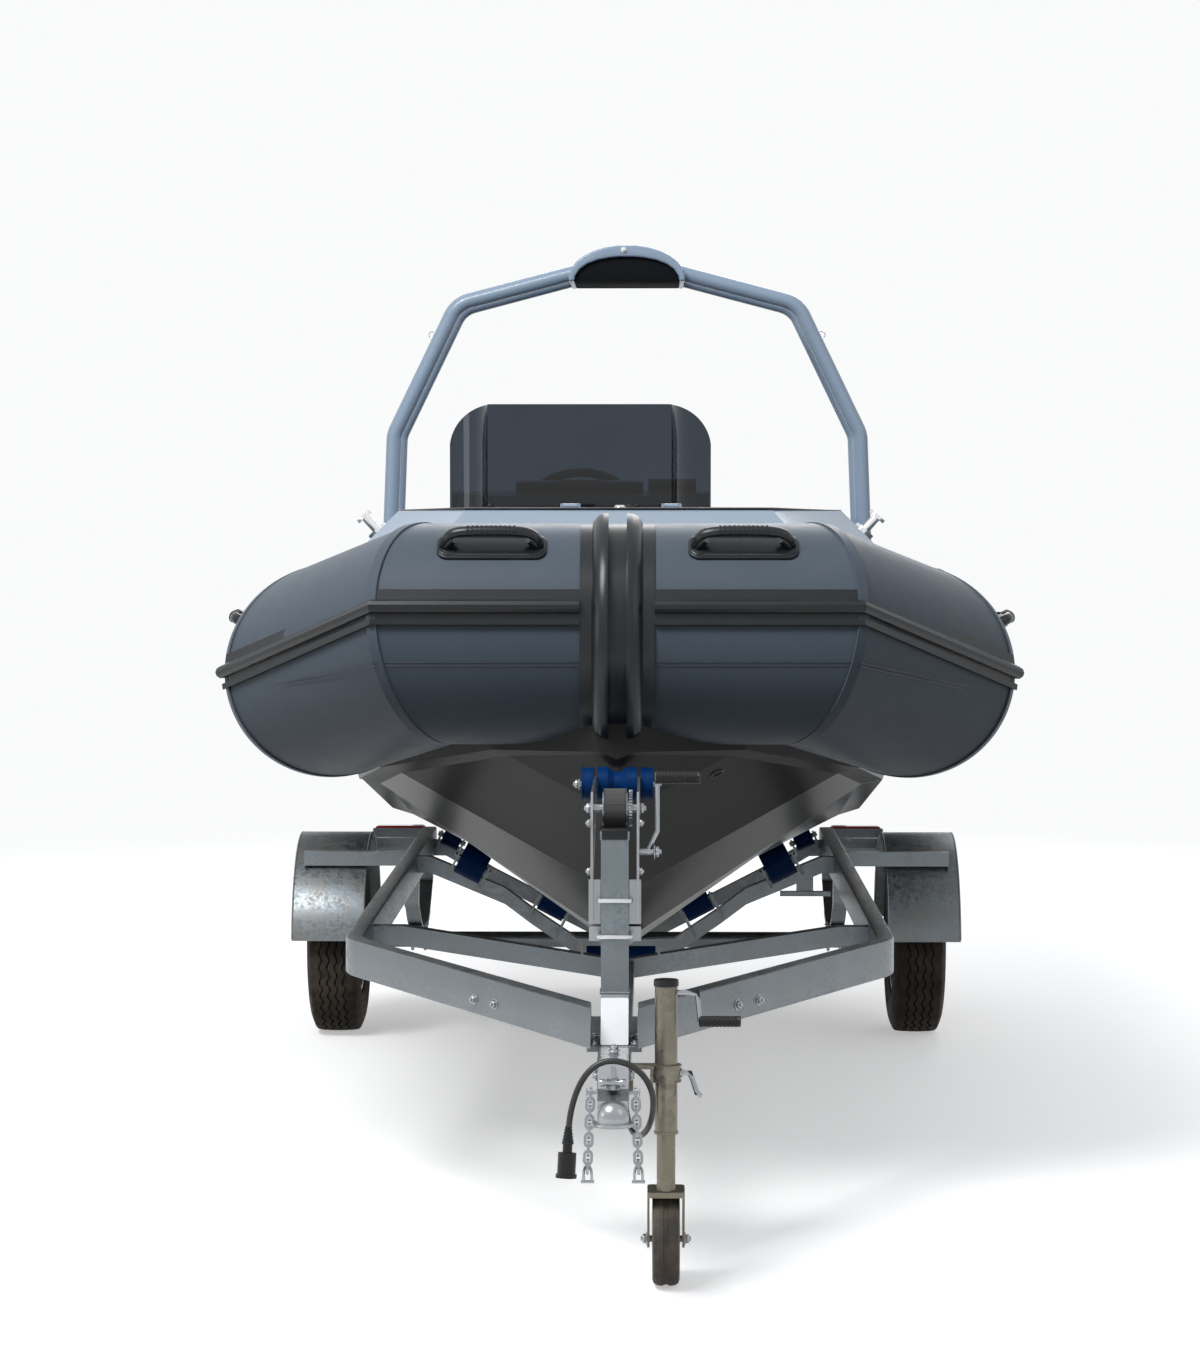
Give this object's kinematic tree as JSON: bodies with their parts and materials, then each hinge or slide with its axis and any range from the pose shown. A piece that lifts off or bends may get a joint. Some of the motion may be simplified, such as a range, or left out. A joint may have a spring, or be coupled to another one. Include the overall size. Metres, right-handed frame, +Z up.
{
  "type": "rigid inflatable boat on its road trailer",
  "caption": "Rigid-hulled inflatable boat with console, light arch and raised outboard, resting on the rollers of a single-axle road trailer parked on its jockey wheel.",
  "frame": {"origin": "on the ground under the middle of the whole length and width", "axes": "+X to the boat's port side, -Y to the towing end and the bow, +Z up"},
  "size_m": [2.3214, 6.1269, 2.494],
  "materials": {
    "collar": "slate grey coated fabric, satin",
    "rubber": "black, satin",
    "hull": "dark grey gloss gelcoat",
    "deck": "light grey-blue gloss",
    "screen": "dark tinted acrylic",
    "black": "black, satin",
    "seat": "light grey-blue gloss",
    "cushion": "dark grey upholstery",
    "arch": "light grey-blue paint, satin",
    "polished": "polished stainless",
    "galvanised": "hot-dip galvanised, spangled",
    "zinc": "bright zinc",
    "passivated": "yellow passivated zinc",
    "roller": "deep blue, satin",
    "webbing": "black webbing",
    "tyre": "dusty black",
    "rim": "silver grey",
    "wheel_rubber": "black",
    "lamp": "red lens",
    "lead": "black, satin",
    "cowl": "dark grey gloss",
    "motor": "dark grey satin paint"
  },
  "bodies": {
    "boat_on_trailer": {"arch_hood": "black", "arch_hoop_front": "arch", "arch_hoop_rear": "arch", "axle": "galvanised", "bollards": "polished", "bow_deck": "deck", "bow_eye": "polished", "bow_guard": "rubber", "bow_locker": "deck", "bow_roller": "roller", "cockpit_sides": "deck", "collar_bow": "collar", "collar_port": "collar", "collar_starboard": "collar", "console": "deck", "coupler": "zinc", "cross_members": "galvanised", "dash_pod": "black", "drawbar": "galvanised", "fender_supports": "galvanised", "fenders": "galvanised", "grab_handles": "rubber", "helm_seat": "seat", "hull": "hull", "hull_rollers": "roller", "jockey_handles": "black", "jockey_tube": "passivated", "lamp_brackets": "galvanised", "lamps": "lamp", "lead": "lead", "lead_plug": "black", "leaf_springs": "galvanised", "motor_bracket": "motor", "roller_brackets": "galvanised", "rub_strake": "rubber", "safety_chains": "zinc", "seat_cushions": "cushion", "side_decks": "deck", "side_rails": "galvanised", "transom_wings": "deck", "winch_frame": "zinc", "winch_gear": "zinc", "winch_post": "galvanised", "winch_strap": "webbing", "windscreen": "screen"},
    "wheel_port": {"tyre_port": "tyre", "rim_port": "rim"},
    "wheel_starboard": {"tyre_starboard": "tyre", "rim_starboard": "rim"},
    "hatch_lid": {"bow_hatch": "deck"},
    "motor_swivel_body": {"motor_swivel": "motor"},
    "motor_head": {"motor_leg": "motor", "motor_cowl": "cowl"},
    "propeller_body": {"propeller": "motor"},
    "helm_wheel": {"steering_wheel": "black"},
    "jockey_stem": {"jockey_leg": "passivated"},
    "jockey_yoke": {"jockey_fork": "passivated"},
    "jockey_roller": {"jockey_wheel": "wheel_rubber"}
  },
  "joints": [
    {"name": "wheel_port_spin", "type": "hinge", "parent": "boat_on_trailer", "child": "wheel_port", "pos_m": [0.915, 0.92785, 0.29], "axis": [1, 0, 0], "continuous": true},
    {"name": "wheel_starboard_spin", "type": "hinge", "parent": "boat_on_trailer", "child": "wheel_starboard", "pos_m": [-0.915, 0.92785, 0.29], "axis": [1, 0, 0], "continuous": true},
    {"name": "hatch_hinge", "type": "hinge", "parent": "boat_on_trailer", "child": "hatch_lid", "pos_m": [0, -1.15416, 1.671], "axis": [-1, 0, 0], "range_deg": [0, 100]},
    {"name": "motor_tilt", "type": "hinge", "parent": "boat_on_trailer", "child": "motor_swivel_body", "pos_m": [0, 2.17184, 0.914], "axis": [1, 0, 0], "range_deg": [-55, 15]},
    {"name": "motor_steer", "type": "hinge", "parent": "motor_swivel_body", "child": "motor_head", "pos_m": [0, 2.2206, 0.98363], "axis": [0, -0.8192, 0.5736], "range_deg": [-30, 30]},
    {"name": "propeller_spin", "type": "hinge", "parent": "motor_head", "child": "propeller_body", "pos_m": [0, 2.81924, 0.61817], "axis": [0, 0.5736, 0.8192], "continuous": true},
    {"name": "helm_turn", "type": "hinge", "parent": "boat_on_trailer", "child": "helm_wheel", "pos_m": [-0.131, 0.33385, 1.5844], "axis": [0, 0.7623, 0.6472], "range_deg": [-540, 540]},
    {"name": "jockey_lift", "type": "slide", "parent": "boat_on_trailer", "child": "jockey_stem", "axis": [0, 0, 1], "range_m": [0, 0.09]},
    {"name": "jockey_swivel", "type": "hinge", "parent": "jockey_stem", "child": "jockey_yoke", "pos_m": [0.111, -2.77216, 0.214], "axis": [0, 0, 1], "continuous": true},
    {"name": "jockey_roll", "type": "hinge", "parent": "jockey_yoke", "child": "jockey_roller", "pos_m": [0.111, -2.72716, 0.1], "axis": [1, 0, 0], "continuous": true}
  ],
  "couplings": [
    {"joint": "helm_turn", "follows": "motor_steer", "ratio": -18}
  ]
}
